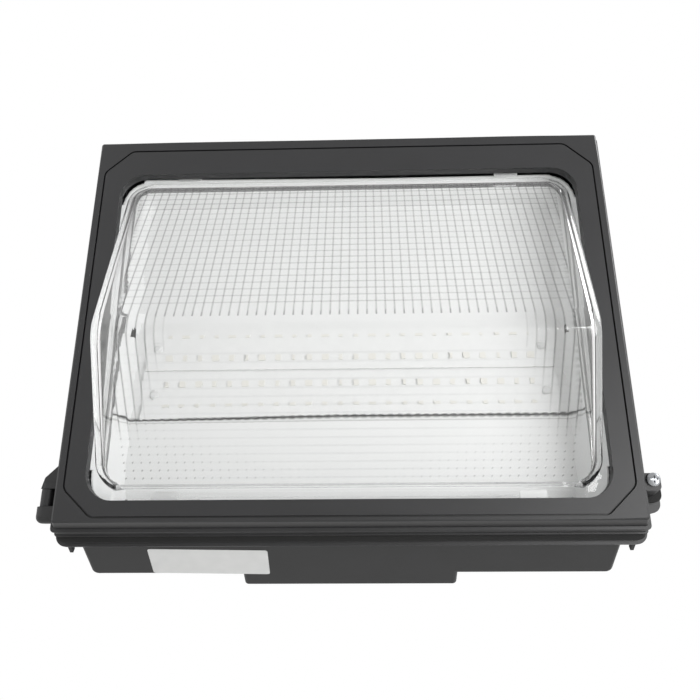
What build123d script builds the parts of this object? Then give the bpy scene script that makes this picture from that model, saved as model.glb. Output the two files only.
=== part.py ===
# Wall pack light: a wedge-shaped cast housing with a slanted, side-hinged door frame that
# carries a prismatic glass refractor over an LED tray.
#
# Row frame: X to the right as seen from the front, Y towards the wall, Z up. The origin is the
# centre of the housing's back pad, on the wall. Millimetres.
#
# Most of the front is drawn on the door's own plane, in three local directions: across (X),
# up (along the slanted face) and out (away from the face, forward and down).

from math import asin, atan, cos, degrees, radians, sin, tan
import os

from build123d import *

os.makedirs("parts", exist_ok=True)

# ---------------------------------------------------------------- driving dimensions

# Door frame
door_slant = 32.0
door_face_width = 344.0
door_face_height = 260.0
door_depth = 24.0
door_flare = 6.0
door_corner_radius = 1.8
door_edge_break = 1.0
door_rim_width = 10.5
door_face_thickness = 6.0
bead_height = 0.9
bead_width = 4.5
bead_out = -11.0
lip_height = 0.3
lip_width = 3.0
rib_edge = 0.25
groove_side_inset = 4.4
groove_low_inset = 2.2
groove_high_inset = 6.6
groove_width = 1.1
groove_depth = 1.8
groove_corner_across = 18.0
groove_corner_up = 17.0
groove_corner_radius = 7.0

# Opening in the door frame
opening_side_rail = 17.0
opening_low = 12.4
opening_high_rail = 26.0
opening_corner_radius = 17.0

# Housing
door_standoff = 75.5
door_drop = 8.5
box_side_inset = 13.6
wall = 3.0
box_back_radius = 4.5
box_edge_radius = 3.0
flange_gap = 4.0
flange_thickness = 3.5
flange_side_margin = 8.0
flange_low_margin = 11.7
flange_step = 5.0
flange_corner_radius = 7.0
sill = 4.0
sill_corner_radius = 6.0
side_rib_thickness = 2.0
side_rib_height = 12.0
side_rib_length = 11.0
side_rib_inset = 7.0

# Back pad, wall bolts and cable entry
pad_width = 138.0
pad_height = 150.0
pad_depth = 10.5
pad_wall = 4.0
pad_corner_radius = 3.0
bolt_spacing = 89.0
bolt_hole_radius = 3.2
cable_entry_radius = 11.0
wall_gasket_width = 4.0
wall_gasket_inset = 5.0
wall_gasket_depth = 2.0

# Door gasket
door_gasket_width = 6.5
door_gasket_edge = 2.3
gasket_groove_depth = 1.0
gasket_tab_half_height = 8.7
gasket_tab_drop = 2.7
gasket_hole_radius = 3.9
seal_gap = 0.3

# Glass refractor, its gasket and its clips
glass = 4.0
lens_gasket_thickness = 1.0
lens_gasket_width = 4.5
lens_overlap = 6.0
lens_corner_radius = 17.0
lens_side_reveal = 5.0
lens_low_reveal = 6.5
lens_high_reveal = 7.0
lens_ridge_up = 98.0
lens_ridge_out = 60.0
lens_ridge_radius = 18.0
lens_kerb_out = -1.0
lens_draft = 8.9
lens_edge_radius = 7.0
notch_width = 44.0
notch_reveal = 1.5
clip_side_inset = 45.0
clip_width = 16.0
clip_thickness = 1.0
clip_length = 15.0
clip_boss_radius = 3.5
clip_boss_from_edge = 4.5
clip_screw_hole = 1.5
clip_screw_length = 6.0

# Hinge at the lower left
hinge_overhang = 10.7
hinge_out = -16.0
barrel_radius = 4.0
knuckle_radius = 5.3
hinge_pin_radius = 1.5
hinge_low = 1.0
hinge_split_low = 11.0
hinge_split_high = 21.0
hinge_high = 28.0
hinge_gap = 0.35
hinge_running_fit = 0.05
hinge_gusset_thickness = 6.4
knuckle_round = 4.0
hinge_pin_head_radius = 2.2
hinge_pin_head = 1.5
hinge_blind_end = 2.0
hinge_foot_margin = 3.0
hinge_foot_radius = 2.0

# Captive screw at the lower right
screw_overhang = 9.0
screw_up = 24.0
ear_front = -10.5
ear_reach = 6.3
ear_drop = 1.2
ear_half_height = 7.0
ear_corner_radius = 4.6
ear_ceiling = 3.0
ear_draft = 7.6
screw_head_radius = 4.0
screw_head_height = 2.6
screw_neck_radius = 1.9
screw_thread_radius = 2.4
screw_thread_length = 10.0
screw_clearance = 0.6
screw_travel = 9.8
retainer_radius = 3.3
retainer_thickness = 0.8
retainer_clearance = 0.4
lug_depth = 12.0
lug_reach = 9.3
lug_drop = 6.0
lug_half_height = 11.5
lug_corner_radius = 6.0

# LED tray
plate_out = -40.0
plate_thickness = 2.0
plate_side_gap = 7.4
plate_low = 10.0
plate_high_gap = 22.0
plate_corner_radius = 6.0
ledge_size = 14.0
ledge_depth = 16.0
ledge_low_up = 26.0
ledge_high_inset = 16.0
tray_screw_hole = 1.9
reflector_sheet = 0.8
reflector_side_margin = 10.7
reflector_low = 21.7
reflector_high_reveal = 8.7
reflector_rise = 24.0
reflector_slope = 24.0
reflector_corner_radius = 6.0
board_end_gap = 7.0
board_height = 30.0
board_gap = 2.0
board_low = 73.0
board_thickness = 1.6
board_screw_inset = 8.0
chip_width = 3.5
chip_height = 2.8
chip_thickness = 0.6
chip_end_gap = 12.0
chip_rows = 2
chip_pitch_across = 10.6
chip_pitch_up = 14.0

# Driver, terminal block, ground screw and conduit plugs
driver_width = 140.0
driver_height = 56.0
driver_depth = 34.0
driver_edge_radius = 3.0
driver_foot = 12.0
driver_foot_thickness = 2.0
driver_foot_width = 26.0
driver_top_gap = 16.0
terminal_width = 36.0
terminal_height = 16.0
terminal_depth = 14.0
terminal_ways = 3
terminal_x = 94.0
terminal_above_floor = 9.5
ground_screw_x = -92.0
ground_screw_above_floor = 9.5
ground_boss_radius = 5.0
ground_boss_height = 3.0
plug_y = -42.0
plug_z = 40.0
plug_radius = 10.4
plug_fit = 0.05
plug_flange_radius = 14.0
plug_flange = 2.5
plug_seal = 1.2
plug_hex = 14.0
plug_hex_height = 4.0

# Machine screws inside
small_head_radius = 3.2
small_head_height = 2.0
small_shank_radius = 1.4
small_shank_length = 8.0
small_head_flat = 0.6

# ---------------------------------------------------------------- frame of the door

slant = radians(door_slant)
box_bottom_z = -pad_height / 2
low_edge_y = -door_standoff
low_edge_z = box_bottom_z - door_drop
up_dir = (0, -sin(slant), cos(slant))
out_dir = (0, -cos(slant), -sin(slant))
face_plane = Plane(origin=(0, low_edge_y, low_edge_z), x_dir=(1, 0, 0), z_dir=out_dir)
side_plane = Plane(origin=(0, low_edge_y, low_edge_z), x_dir=up_dir, z_dir=(1, 0, 0))

door_back = -door_depth
flange_front = door_back - flange_gap
flange_back = flange_front - flange_thickness
flange_width = door_face_width + 2 * flange_side_margin
box_width = flange_width - 2 * box_side_inset
flange_high = door_face_height + flange_side_margin
flange_mid_up = (flange_high - flange_low_margin) / 2
flange_height = flange_high + flange_low_margin
door_mid_up = door_face_height / 2
opening_width = door_face_width - 2 * opening_side_rail
opening_high = door_face_height - opening_high_rail
clip_across = opening_width / 2 - clip_side_inset
flare_angle = degrees(atan(door_flare / door_depth))
hinge_across = -(door_face_width / 2 + hinge_overhang)
screw_across = door_face_width / 2 + screw_overhang
plate_width = box_width - 2 * (wall + plate_side_gap)
reflector_width = plate_width - 2 * reflector_side_margin
board_width = reflector_width - 2 * board_end_gap
chips_across = int((board_width - 2 * chip_end_gap) / chip_pitch_across) + 1
plate_high = flange_high - plate_high_gap
ledge_high_up = plate_high - ledge_high_inset
reflector_high = opening_high - reflector_high_reveal
terminal_z = box_bottom_z + wall + terminal_above_floor
ground_screw_z = box_bottom_z + wall + ground_screw_above_floor


def along_up(across, up, out):
    # A plane square to the door's up direction, for barrels and pins.
    origin = face_plane.from_local_coords((across, up, out))
    return Plane(origin=origin, x_dir=(1, 0, 0), z_dir=up_dir)


def at_door(across, up, out):
    # A plane parallel to the door's face, centred on one place.
    origin = face_plane.from_local_coords((across, up, out))
    return Plane(origin=origin, x_dir=(1, 0, 0), z_dir=out_dir)


def height_at(up, out):
    # Row Z of a place on the door's plane system.
    return low_edge_z + up * cos(slant) - out * sin(slant)


def depth_at(z, out):
    # Row Y where the plane at one out distance crosses a height.
    up = (z - low_edge_z + out * sin(slant)) / cos(slant)
    return low_edge_y - up * sin(slant) - out * cos(slant)


def small_screw(head_radius, shank_radius, shank_length):
    # One small pan-head screw, its head's underside on the XY plane and its edge broken.
    with BuildPart() as screw:
        with BuildSketch(Plane.XZ):
            with BuildLine():
                Polyline(
                    (0, -shank_length),
                    (shank_radius, -shank_length),
                    (shank_radius, 0),
                    (head_radius, 0),
                    (head_radius, small_head_height / 2),
                    (head_radius * small_head_flat, small_head_height),
                    (0, small_head_height),
                    close=True,
                )
            make_face()
        revolve(axis=Axis.Z)
    return screw.part


def pan_screw(head_radius, head_height, shank_radius, shank_length):
    # One pan-head screw with the underside of its head on the XY plane and a domed top.
    crown = head_height * 0.45
    dome_radius = (head_radius**2 + crown**2) / (2 * crown)
    half_angle = asin(head_radius / dome_radius) / 2
    dome_base = head_height - dome_radius
    with BuildPart() as screw:
        with BuildSketch(Plane.XZ):
            with BuildLine():
                Polyline(
                    (0, -shank_length),
                    (shank_radius, -shank_length),
                    (shank_radius, 0),
                    (head_radius, 0),
                    (head_radius, head_height - crown),
                )
                ThreePointArc(
                    (head_radius, head_height - crown),
                    (dome_radius * sin(half_angle), dome_base + dome_radius * cos(half_angle)),
                    (0, head_height),
                )
                Line((0, head_height), (0, -shank_length))
            make_face()
        revolve(axis=Axis.Z)
    return screw.part


# ---------------------------------------------------------------- housing

back_y = -pad_depth
box_top_z = height_at(flange_high - flange_step, flange_back)
flange_middle = (flange_front + flange_back) / 2
cavity_low_up = (box_bottom_z + wall - low_edge_z + flange_back * sin(slant)) / cos(slant)
cavity_high_up = (box_top_z - wall - low_edge_z + flange_back * sin(slant)) / cos(slant)
rib_top_z = box_bottom_z + side_rib_height
rib_front_y = depth_at(box_bottom_z, flange_middle)
lug_back = flange_front - lug_depth
post_inner = hinge_across + barrel_radius * 0.6
ledge_places = [
    (side * (box_width / 2 - wall - ledge_size / 2), up)
    for side in (-1, 1)
    for up in (ledge_low_up, ledge_high_up)
]


def box_profile(inset, front_out):
    # Wedge seen from the side: upright back, level top and bottom, slanted front.
    top = box_top_z - inset
    bottom = box_bottom_z + inset
    back = back_y - inset
    Polyline(
        (back, bottom),
        (back, top),
        (depth_at(top, front_out), top),
        (depth_at(bottom, front_out), bottom),
        close=True,
    )


with BuildSketch() as gasket_band:
    with Locations((0, flange_mid_up)):
        RectangleRounded(
            flange_width - 2 * door_gasket_edge,
            flange_height - 2 * door_gasket_edge,
            flange_corner_radius - door_gasket_edge,
        )
        RectangleRounded(
            flange_width - 2 * (door_gasket_edge + door_gasket_width),
            flange_height - 2 * (door_gasket_edge + door_gasket_width),
            sill_corner_radius,
            mode=Mode.SUBTRACT,
        )

with BuildPart() as housing:
    # Outer box
    with BuildSketch(Plane.YZ):
        with BuildLine():
            box_profile(0, flange_middle)
        make_face()
    extrude(amount=box_width / 2, both=True)
    back_face = housing.faces().sort_by(Axis.Y)[-1]
    fillet(back_face.edges().filter_by(Axis.Z), radius=box_back_radius)
    fillet(housing.faces().sort_by(Axis.Y)[-1].edges().filter_by(Axis.X), radius=box_edge_radius)

    # Back pad, with a hollow behind its face
    with BuildSketch(Plane.XZ.offset(pad_depth + wall)):
        RectangleRounded(pad_width, pad_height, pad_corner_radius)
    extrude(amount=-(pad_depth + wall))

    # Inside of the box, up to the flange's back
    with BuildSketch(Plane.YZ):
        with BuildLine():
            box_profile(wall, flange_back)
        make_face()
    extrude(amount=box_width / 2 - wall, both=True, mode=Mode.SUBTRACT)
    with BuildSketch(Plane.XZ.offset(pad_wall)):
        RectangleRounded(
            pad_width - 2 * pad_wall,
            pad_height - 2 * pad_wall,
            pad_corner_radius - pad_wall / 2,
        )
    extrude(amount=pad_depth, mode=Mode.SUBTRACT)

    # Flange round the front
    with BuildSketch(face_plane.offset(flange_back)):
        with Locations((0, flange_mid_up)):
            RectangleRounded(flange_width, flange_height, flange_corner_radius)
    extrude(amount=flange_thickness)
    with BuildSketch(face_plane.offset(flange_back)):
        with Locations((0, (cavity_low_up + cavity_high_up) / 2)):
            RectangleRounded(
                box_width - 2 * wall,
                cavity_high_up - cavity_low_up - 2 * sill,
                sill_corner_radius,
            )
    extrude(amount=flange_thickness, mode=Mode.SUBTRACT)

    # Ledges that carry the LED tray
    for across, up in ledge_places:
        with BuildSketch(at_door(across, up, plate_out - plate_thickness)):
            Rectangle(ledge_size, ledge_size)
        extrude(amount=-ledge_depth)
        with BuildSketch(at_door(across, up, plate_out - plate_thickness)):
            Circle(small_shank_radius + 0.1)
        extrude(amount=-small_shank_length, mode=Mode.SUBTRACT)

    # Lug that takes the captive screw
    with BuildSketch(face_plane.offset(lug_back)):
        with Locations((screw_across, screw_up - lug_drop)):
            RectangleRounded(2 * lug_reach, 2 * lug_half_height, lug_corner_radius)
    extrude(amount=lug_depth)
    with BuildSketch(face_plane.offset(flange_front)):
        with Locations((screw_across, screw_up)):
            Circle(screw_thread_radius + screw_clearance)
    extrude(amount=-lug_depth, mode=Mode.SUBTRACT)

    # Hinge barrel on its post
    with BuildSketch(along_up(hinge_across, hinge_split_low, hinge_out)):
        Circle(barrel_radius)
        with Locations(((post_inner - hinge_across - barrel_radius) / 2, (hinge_out - flange_back) / 2)):
            Rectangle(post_inner - hinge_across + barrel_radius, hinge_out - flange_back)
    extrude(amount=hinge_split_high - hinge_split_low)
    with BuildSketch(along_up(hinge_across, hinge_split_low, hinge_out)):
        Circle(hinge_pin_radius + hinge_running_fit)
    extrude(amount=hinge_split_high - hinge_split_low, mode=Mode.SUBTRACT)
    with BuildSketch(face_plane.offset(flange_back)):
        foot_width = -flange_width / 2 - (hinge_across - barrel_radius) + flange_corner_radius
        foot_height = hinge_split_high - hinge_split_low + 2 * hinge_foot_margin
        foot_mid = hinge_across - barrel_radius + foot_width / 2
        with Locations((foot_mid, (hinge_split_low + hinge_split_high) / 2)):
            RectangleRounded(foot_width, foot_height, hinge_foot_radius)
    extrude(amount=flange_thickness)

    # Thin ribs behind the flange, low on each side, level with the box's bottom
    for side in (-1, 1):
        with BuildSketch(Plane.YZ.offset(side * (box_width / 2 + side_rib_inset))):
            with BuildLine():
                Polyline(
                    (rib_front_y, box_bottom_z),
                    (rib_front_y + side_rib_length, box_bottom_z),
                    (rib_front_y + side_rib_length, box_bottom_z + side_rib_height / 4),
                    (depth_at(rib_top_z, flange_middle), rib_top_z),
                    close=True,
                )
            make_face()
        extrude(amount=side_rib_thickness / 2, both=True)

    # Groove for the door gasket
    with BuildSketch(face_plane.offset(flange_front)):
        add(gasket_band.sketch)
    extrude(amount=-gasket_groove_depth, mode=Mode.SUBTRACT)

    # Holes for the wall bolts and the supply cable, and the groove of the wall gasket
    with BuildSketch(Plane.XZ):
        with GridLocations(bolt_spacing, bolt_spacing, 2, 2):
            Circle(bolt_hole_radius)
        Circle(cable_entry_radius)
    extrude(amount=pad_wall, mode=Mode.SUBTRACT)
    with BuildSketch(Plane.XZ):
        RectangleRounded(
            pad_width - 2 * wall_gasket_inset,
            pad_height - 2 * wall_gasket_inset,
            pad_corner_radius,
        )
        RectangleRounded(
            pad_width - 2 * (wall_gasket_inset + wall_gasket_width),
            pad_height - 2 * (wall_gasket_inset + wall_gasket_width),
            pad_corner_radius - wall_gasket_width / 2,
            mode=Mode.SUBTRACT,
        )
    extrude(amount=wall_gasket_depth, mode=Mode.SUBTRACT)

    # Side conduit holes and the boss of the ground screw
    with BuildSketch(Plane.YZ):
        with Locations((plug_y, plug_z)):
            Circle(plug_radius + plug_fit)
    extrude(amount=box_width / 2, both=True, mode=Mode.SUBTRACT)
    with BuildSketch(Plane.XZ.offset(pad_depth + wall)):
        with Locations((ground_screw_x, ground_screw_z)):
            Circle(ground_boss_radius)
    extrude(amount=ground_boss_height)
    with BuildSketch(Plane.XZ.offset(pad_depth + wall + ground_boss_height)):
        with Locations((ground_screw_x, ground_screw_z)):
            Circle(small_shank_radius + 0.1)
    extrude(amount=-ground_boss_height, mode=Mode.SUBTRACT)

housing.part.label = "housing"
export_step(housing.part, "parts/housing.step")


# ---------------------------------------------------------------- wall gasket

with BuildPart() as wall_gasket:
    with BuildSketch(Plane.XZ):
        RectangleRounded(
            pad_width - 2 * wall_gasket_inset,
            pad_height - 2 * wall_gasket_inset,
            pad_corner_radius,
        )
        RectangleRounded(
            pad_width - 2 * (wall_gasket_inset + wall_gasket_width),
            pad_height - 2 * (wall_gasket_inset + wall_gasket_width),
            pad_corner_radius - wall_gasket_width / 2,
            mode=Mode.SUBTRACT,
        )
    extrude(amount=wall_gasket_depth)

wall_gasket.part.label = "wall_gasket"
export_step(wall_gasket.part, "parts/wall_gasket.step")

# ---------------------------------------------------------------- door frame

rim_width = door_face_width + 2 * door_flare
rim_height = door_face_height + 2 * door_flare
opening_mid_up = (opening_low + opening_high) / 2
opening_height = opening_high - opening_low
lens_seat = -door_face_thickness - lens_gasket_thickness
lens_back = lens_seat - glass
clip_boss_low_up = opening_low + notch_reveal - clip_boss_from_edge - 1
clip_boss_high_up = opening_high + lens_overlap + clip_boss_from_edge
clip_places = [
    (side * clip_across, up, end)
    for side in (-1, 1)
    for up, end in ((clip_boss_low_up, 1), (clip_boss_high_up, -1))
]
ear_back = door_back
ear_root = rim_width / 2 - door_rim_width
ear_mid = (screw_across + ear_reach + ear_root) / 2
ear_mid_up = screw_up - ear_drop
ear_width = screw_across + ear_reach - ear_root
groove_mid_up = (groove_low_inset + door_face_height - groove_high_inset) / 2
groove_span = door_face_width - 2 * groove_side_inset
groove_rise = door_face_height - groove_low_inset - groove_high_inset


def skirt_growth(out):
    # How far the flared skirt stands beyond the face at one out distance.
    return door_flare * out / door_back


def groove_outline(inset):
    # Rectangle with corners cut across, centred on the door.
    half = groove_span / 2 - inset
    rise = groove_rise / 2 - inset
    cut_across = groove_corner_across - inset * (2 - 2**0.5)
    cut_up = groove_corner_up - inset * (2 - 2**0.5)
    Polyline(
        (half, rise - cut_up),
        (half - cut_across, rise),
        (cut_across - half, rise),
        (-half, rise - cut_up),
        (-half, cut_up - rise),
        (cut_across - half, -rise),
        (half - cut_across, -rise),
        (half, cut_up - rise),
        close=True,
    )


with BuildSketch() as groove_island:
    with BuildLine(Plane((0, groove_mid_up, 0))):
        groove_outline(groove_width)
    make_face()
    fillet(vertices(), radius=groove_corner_radius - groove_width)

with BuildPart() as skirt:
    with BuildSketch(face_plane.offset(door_back)):
        with Locations((0, door_mid_up)):
            Rectangle(rim_width, rim_height)
    extrude(amount=door_depth, taper=flare_angle)
    corners = [
        edge
        for edge in skirt.edges()
        if door_back < face_plane.to_local_coords(edge.center()).Z + door_edge_break < 0
    ]
    fillet(corners, radius=door_corner_radius)
    face_top = skirt.faces().sort_by(Axis(face_plane.origin, out_dir))[-1]
    chamfer(face_top.edges(), length=door_edge_break)

knuckle_reach = -(rim_width / 2 - door_rim_width / 2) - hinge_across

with BuildPart() as low_knuckle:
    with BuildSketch(along_up(hinge_across, hinge_low, hinge_out)):
        Circle(knuckle_radius)
        with Locations((knuckle_reach / 2, 0)):
            Rectangle(knuckle_reach, 2 * knuckle_radius)
    extrude(amount=hinge_split_low - hinge_gap - hinge_low)
    underside = low_knuckle.faces().sort_by(Axis(face_plane.origin, up_dir))[0]
    fillet(underside.edges().sort_by(Axis.X)[:-1], radius=knuckle_round)

with BuildPart() as door_frame:
    # Bead and lip that run round the skirt
    for out, width, height in (
        (bead_out, bead_width, bead_height),
        (door_back + lip_width, lip_width, lip_height),
    ):
        growth = skirt_growth(out - width) + height
        with BuildSketch(face_plane.offset(out)):
            with Locations((0, door_mid_up)):
                RectangleRounded(
                    door_face_width + 2 * growth,
                    door_face_height + 2 * growth,
                    door_corner_radius + height,
                )
        extrude(amount=-width)
        bead_sides = door_frame.faces(Select.LAST).filter_by(Axis(face_plane.origin, out_dir))
        chamfer(bead_sides.edges(), length=rib_edge)

    add(skirt.part)

    # Hollow behind the face, and the opening through it
    with BuildSketch(face_plane.offset(door_back)):
        with Locations((0, door_mid_up)):
            RectangleRounded(
                rim_width - 2 * door_rim_width,
                rim_height - 2 * door_rim_width,
                sill_corner_radius,
            )
    extrude(amount=door_depth - door_face_thickness, mode=Mode.SUBTRACT)
    with BuildSketch(face_plane.offset(-door_face_thickness)):
        with Locations((0, opening_mid_up)):
            RectangleRounded(opening_width, opening_height, opening_corner_radius)
    extrude(amount=door_face_thickness, mode=Mode.SUBTRACT)

    # Groove with cut corners round the face
    with BuildSketch(face_plane.offset(-groove_depth)):
        with BuildLine(Plane((0, groove_mid_up, 0))):
            groove_outline(0)
        make_face()
        fillet(vertices(), radius=groove_corner_radius)
        add(groove_island.sketch, mode=Mode.SUBTRACT)
    extrude(amount=groove_depth, mode=Mode.SUBTRACT)

    # Bosses for the lens clips
    for across, up, end in clip_places:
        with BuildSketch(at_door(across, up, -door_face_thickness)):
            Circle(clip_boss_radius)
            with Locations((0, -end * clip_boss_radius)):
                Rectangle(2 * clip_boss_radius, 2 * clip_boss_radius)
        extrude(amount=lens_back + door_face_thickness)
        with BuildSketch(at_door(across, up, lens_back)):
            Circle(clip_screw_hole)
        extrude(amount=clip_screw_length, mode=Mode.SUBTRACT)

    # Ear that holds the captive screw, with a hollow for its retaining ring
    with BuildSketch(face_plane.offset(ear_back)):
        with Locations((ear_mid, ear_mid_up)):
            RectangleRounded(ear_width, 2 * ear_half_height, ear_corner_radius)
    extrude(amount=ear_front - ear_back, taper=ear_draft)
    with BuildSketch(face_plane.offset(ear_front)):
        with Locations((screw_across, screw_up)):
            Circle(screw_neck_radius + screw_clearance)
    extrude(amount=-(ear_front - ear_back), mode=Mode.SUBTRACT)
    with BuildSketch(face_plane.offset(ear_front - ear_ceiling)):
        with Locations((screw_across, screw_up)):
            Circle(retainer_radius + retainer_clearance)
    extrude(amount=-(ear_front - ear_ceiling - ear_back), mode=Mode.SUBTRACT)
    with BuildSketch(face_plane.offset(ear_front)):
        with Locations((screw_across, screw_up)):
            Circle(screw_head_radius + 0.4)
    extrude(amount=-ear_front, mode=Mode.SUBTRACT)

    # Hinge knuckles above and below the housing's barrel, the upper one on a sloping gusset
    add(low_knuckle.part)
    with BuildSketch(along_up(hinge_across, hinge_split_high + hinge_gap, hinge_out)):
        Circle(barrel_radius)
        with Locations((knuckle_reach / 2, 0)):
            Rectangle(knuckle_reach, 2 * barrel_radius)
    extrude(amount=(hinge_high - hinge_split_high) / 2)
    with BuildSketch(face_plane.offset(hinge_out - hinge_gusset_thickness / 2)):
        with BuildLine():
            Polyline(
                (hinge_across + knuckle_reach, hinge_split_high + hinge_gap),
                (hinge_across - barrel_radius * 0.9, hinge_split_high + hinge_gap),
                (hinge_across - barrel_radius * 0.5, hinge_high),
                (hinge_across + knuckle_reach, hinge_high + barrel_radius * 0.5 + knuckle_reach),
                close=True,
            )
        make_face()
    extrude(amount=hinge_gusset_thickness)
    with BuildSketch(along_up(hinge_across, hinge_low + hinge_blind_end, hinge_out)):
        Circle(hinge_pin_radius + hinge_running_fit)
    extrude(amount=hinge_high, mode=Mode.SUBTRACT)
    with BuildSketch(along_up(hinge_across, hinge_high, hinge_out)):
        Circle(hinge_pin_head_radius + hinge_gap)
    extrude(amount=hinge_high, mode=Mode.SUBTRACT)

door_frame.part.label = "door_frame"
export_step(door_frame.part, "parts/door_frame.step")

# ---------------------------------------------------------------- door gasket

with BuildPart() as door_gasket:
    with BuildSketch(face_plane.offset(flange_front)):
        with Locations((screw_across, screw_up - gasket_tab_drop)):
            RectangleRounded(2 * lug_reach, 2 * gasket_tab_half_height, ear_corner_radius)
    extrude(amount=flange_gap - seal_gap)
    with BuildSketch(face_plane.offset(flange_front - gasket_groove_depth)):
        add(gasket_band.sketch)
    extrude(amount=gasket_groove_depth + flange_gap - seal_gap)
    with BuildSketch(face_plane.offset(door_back)):
        with Locations((screw_across, screw_up)):
            Circle(gasket_hole_radius)
    extrude(amount=-flange_gap - gasket_groove_depth, mode=Mode.SUBTRACT)

door_gasket.part.label = "door_gasket"
export_step(door_gasket.part, "parts/door_gasket.step")

# ---------------------------------------------------------------- glass refractor

lens_low = opening_low + lens_low_reveal
lens_high = opening_high - lens_high_reveal
lens_mid_up = (lens_low + lens_high) / 2
lens_width = opening_width - 2 * lens_side_reveal
lens_flange_width = opening_width + 2 * lens_overlap
lens_flange_height = opening_height + 2 * lens_overlap
notch_top = opening_low + notch_reveal


def refractor_form(inset, base_out):
    # Hipped bowl: the side profile swept across, cut by a block with drafted sides.
    kerb_growth = 2 * (lens_kerb_out - base_out) * tan(radians(lens_draft))
    with BuildPart() as form:
        with BuildSketch(side_plane):
            with BuildLine():
                Polyline(
                    (lens_low, base_out - inset),
                    (lens_low, lens_kerb_out),
                    (lens_ridge_up, lens_ridge_out),
                    (lens_high, lens_kerb_out),
                    (lens_high, base_out - inset),
                    close=True,
                )
            make_face()
            fillet(vertices().sort_by(Axis.Y)[-1], radius=lens_ridge_radius)
            if inset > 0:
                offset(amount=-inset, kind=Kind.INTERSECTION, mode=Mode.REPLACE)
        extrude(amount=lens_width, both=True)
        with BuildSketch(face_plane.offset(base_out)):
            with Locations((0, lens_mid_up)):
                RectangleRounded(
                    lens_width - 2 * inset,
                    lens_high - lens_low - 2 * inset + kerb_growth + 0.1,
                    lens_corner_radius - inset,
                )
        extrude(amount=lens_ridge_out - base_out + 1, taper=lens_draft, mode=Mode.INTERSECT)
        centres = [(edge, face_plane.to_local_coords(edge.center())) for edge in form.edges()]
        hips = [
            edge
            for edge, centre in centres
            if centre.Z > lens_kerb_out + 0.1 and abs(centre.X) > lens_width / 3
        ]
        fillet(hips, radius=lens_edge_radius - inset)
    return form.part


lens_outside = refractor_form(0, lens_seat)
lens_inside = refractor_form(glass, lens_back)

with BuildPart() as lens:
    add(lens_outside)
    with BuildSketch(face_plane.offset(lens_back)):
        with Locations((0, opening_mid_up)):
            RectangleRounded(
                lens_flange_width,
                lens_flange_height,
                opening_corner_radius + lens_overlap,
            )
        for side in (-1, 1):
            with Locations((side * clip_across, notch_top - lens_overlap)):
                Rectangle(notch_width, 2 * lens_overlap, mode=Mode.SUBTRACT)
    extrude(amount=glass)
    add(lens_inside, mode=Mode.SUBTRACT)

lens.part.label = "lens"
export_step(lens.part, "parts/lens.step")

# ---------------------------------------------------------------- lens gasket

with BuildPart() as lens_gasket:
    with BuildSketch(face_plane.offset(lens_seat)):
        with Locations((0, opening_mid_up)):
            RectangleRounded(
                opening_width + 2 * lens_gasket_width,
                opening_height + 2 * lens_gasket_width,
                opening_corner_radius + lens_gasket_width,
            )
            RectangleRounded(
                opening_width + 1,
                opening_height + 1,
                opening_corner_radius,
                mode=Mode.SUBTRACT,
            )
        for side in (-1, 1):
            with Locations((side * clip_across, opening_low - lens_overlap)):
                Rectangle(notch_width, 2 * lens_overlap, mode=Mode.SUBTRACT)
    extrude(amount=lens_gasket_thickness)

lens_gasket.part.label = "lens_gasket"
export_step(lens_gasket.part, "parts/lens_gasket.step")

# ---------------------------------------------------------------- lens clips and their screws

with BuildPart() as lens_clips:
    for across, up, end in clip_places:
        with BuildSketch(at_door(across, up, lens_back)):
            with Locations((0, end * (clip_length / 2 - clip_boss_radius))):
                RectangleRounded(clip_width, clip_length, 2)
            Circle(clip_screw_hole + 0.2, mode=Mode.SUBTRACT)
        extrude(amount=-clip_thickness)

lens_clips.part.label = "lens_clips"
export_step(lens_clips.part, "parts/lens_clips.step")

clip_screw = small_screw(small_head_radius, clip_screw_hole - 0.1, clip_screw_length - 0.5)
with BuildPart() as lens_clip_screws:
    for across, up, end in clip_places:
        seat = at_door(across, up, lens_back - clip_thickness)
        with Locations(Plane(seat.origin, x_dir=(1, 0, 0), z_dir=-seat.z_dir)):
            add(clip_screw)

lens_clip_screws.part.label = "lens_clip_screws"
export_step(lens_clip_screws.part, "parts/lens_clip_screws.step")

# ---------------------------------------------------------------- hinge pin

with BuildPart() as hinge_pin:
    with BuildSketch(along_up(hinge_across, hinge_low + hinge_blind_end, hinge_out)):
        Circle(hinge_pin_radius)
    extrude(amount=hinge_high - hinge_low - hinge_blind_end)
    with BuildSketch(along_up(hinge_across, hinge_high, hinge_out)):
        Circle(hinge_pin_head_radius)
    extrude(amount=hinge_pin_head)

hinge_pin.part.label = "hinge_pin"
export_step(hinge_pin.part, "parts/hinge_pin.step")

# ---------------------------------------------------------------- captive screw and retaining ring

ring_top = ear_front - ear_ceiling - screw_travel
thread_top = ring_top - retainer_thickness - 0.5
recess_depth = 1.4
recess_length = 4.4
recess_width = 1.1

with BuildPart() as captive_screw:
    add(
        pan_screw(screw_head_radius, screw_head_height, screw_neck_radius, ear_front - thread_top).moved(
            at_door(screw_across, screw_up, ear_front).location
        )
    )
    with BuildSketch(at_door(screw_across, screw_up, thread_top)):
        Circle(screw_thread_radius)
    extrude(amount=-screw_thread_length)
    tip = captive_screw.faces().sort_by(Axis(face_plane.origin, out_dir))[0]
    chamfer(tip.edges(), length=0.8)
    with BuildSketch(at_door(screw_across, screw_up, ear_front + screw_head_height)):
        Rectangle(recess_length, recess_width)
        Rectangle(recess_width, recess_length)
    extrude(amount=-recess_depth, mode=Mode.SUBTRACT)

captive_screw.part.label = "captive_screw"
export_step(captive_screw.part, "parts/captive_screw.step")

with BuildPart() as screw_retainer:
    with BuildSketch(at_door(screw_across, screw_up, ring_top)):
        Circle(retainer_radius)
        Circle(screw_neck_radius + 0.05, mode=Mode.SUBTRACT)
    extrude(amount=-retainer_thickness)

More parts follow.
